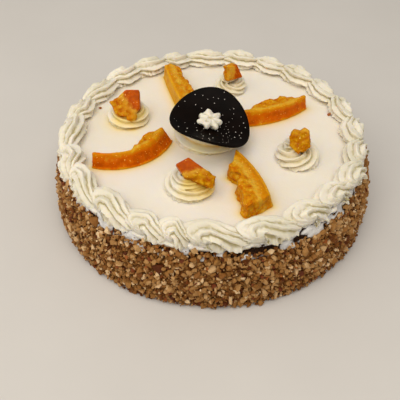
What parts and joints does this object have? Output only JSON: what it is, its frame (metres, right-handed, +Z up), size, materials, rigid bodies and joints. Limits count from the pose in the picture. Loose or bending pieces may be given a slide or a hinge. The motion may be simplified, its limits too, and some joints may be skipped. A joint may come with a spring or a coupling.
{
  "type": "almond cake",
  "caption": "Round cream cake with a side of chopped almonds, a piped shell border, rosettes, candied orange and a curved chocolate disc.",
  "frame": {"origin": "middle of the underside, where the cake rests", "axes": "+Z up through the cake; -Y is the side that faces the viewer of the picture, +X to that viewer's right"},
  "size_m": [0.2447, 0.245, 0.0891],
  "materials": {
    "chopped_almond": "matte",
    "smooth_cream": "satin",
    "piped_cream": "satin",
    "candied_orange": "gloss",
    "dark_chocolate": "satin"
  },
  "bodies": {
    "root": {"cake_body": "chopped_almond", "cream_top": "smooth_cream", "piped_border": "piped_cream", "rosette_left_back": "piped_cream", "rosette_back": "piped_cream", "rosette_right": "piped_cream", "rosette_front": "piped_cream", "centre_mound": "piped_cream", "cream_star": "piped_cream", "orange_chunk_left_back": "candied_orange", "orange_chunk_back": "candied_orange", "orange_chunk_right": "candied_orange", "orange_chunk_front": "candied_orange", "orange_slice_left": "candied_orange", "orange_slice_right": "candied_orange", "orange_slice_front": "candied_orange", "orange_slice_back": "candied_orange", "chocolate_disc": "dark_chocolate"}
  },
  "joints": []
}
